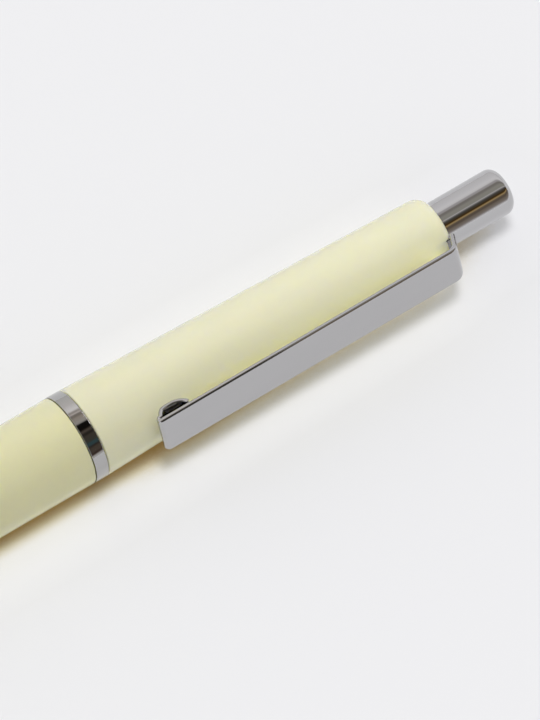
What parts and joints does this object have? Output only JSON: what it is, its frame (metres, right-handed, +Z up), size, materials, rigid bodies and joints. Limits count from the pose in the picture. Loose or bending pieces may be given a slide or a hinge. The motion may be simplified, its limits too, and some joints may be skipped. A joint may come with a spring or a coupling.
{
  "type": "pushbutton ballpoint pen",
  "caption": "Pushbutton ballpoint pen with a tapered barrel in two screwed halves, a folded strip clip, a click mechanism, a refill and a return spring.",
  "frame": {"origin": "centre of the pen's footprint on the surface that it lies on", "axes": "+X along the pen from its point to its button, +Z up from the surface, the clip on the -Y side"},
  "size_m": [0.137, 0.0128, 0.011],
  "materials": {
    "ivory_plastic": "glossy moulded plastic",
    "chrome": "bright plated",
    "brass": "turned",
    "steel": "drawn",
    "ball_metal": "ground",
    "black_plastic": "moulded",
    "white_plastic": "moulded",
    "ink": "blue paste",
    "grease": "clear grease"
  },
  "bodies": {
    "rear_half": {"upper_barrel": "ivory_plastic", "mouth_bush": "brass", "cam_sleeve": "white_plastic"},
    "ring": {"centre_ring": "chrome"},
    "front_half": {"lower_barrel": "ivory_plastic", "nose_cone": "chrome", "barrel_coupler": "black_plastic", "return_spring": "steel"},
    "clip": {"clip": "chrome"},
    "button": {"push_button": "chrome", "button_core": "black_plastic"},
    "refill": {"refill_tube": "steel", "refill_nozzle": "brass", "writing_tip": "steel", "ink_column": "ink", "ink_follower": "grease", "refill_plug": "white_plastic"},
    "rotor": {"cam_rotor": "white_plastic"},
    "ball": {"writing_ball": "ball_metal"}
  },
  "joints": [
    {"name": "button_slide", "type": "slide", "parent": "rear_half", "child": "button", "axis": [-1, 0, 0], "range_m": [0, 0.0058], "stiffness_N_per_m": 260, "springref_m": -0.004},
    {"name": "refill_slide", "type": "slide", "parent": "rear_half", "child": "refill", "axis": [-1, 0, 0], "range_m": [0, 0.0058], "deforming": ["return_spring"]},
    {"name": "rotor_turn", "type": "hinge", "parent": "refill", "child": "rotor", "pos_m": [0.03424, 0.00093, 0.00548], "axis": [1, 0, 0], "range_deg": [0, 45]},
    {"name": "ring_slide", "type": "slide", "parent": "rear_half", "child": "ring", "axis": [-1, 0, 0], "range_m": [0, 0.004]},
    {"name": "barrel_turn", "type": "hinge", "parent": "ring", "child": "front_half", "pos_m": [0.01034, 0.00093, 0.00548], "axis": [-1, 0, 0], "range_deg": [0, 1440]},
    {"name": "clip_flex", "type": "hinge", "parent": "rear_half", "child": "clip", "pos_m": [0.05877, -0.00223, 0.0066], "axis": [0, 0.3338, 0.9426], "range_deg": [0, 4], "stiffness_Nm_per_rad": 0.3, "springref_deg": -1.15},
    {"name": "ball_roll", "type": "hinge", "parent": "refill", "child": "ball", "pos_m": [-0.06709, 0.00093, 0.00548], "axis": [0, 1, 0], "continuous": true}
  ],
  "couplings": [
    {"joint": "refill_slide", "follows": "button_slide", "ratio": 1},
    {"joint": "rotor_turn", "follows": "button_slide", "rad_per_m": 135.4},
    {"joint": "barrel_turn", "follows": "ring_slide", "rad_per_m": 6283.2}
  ]
}
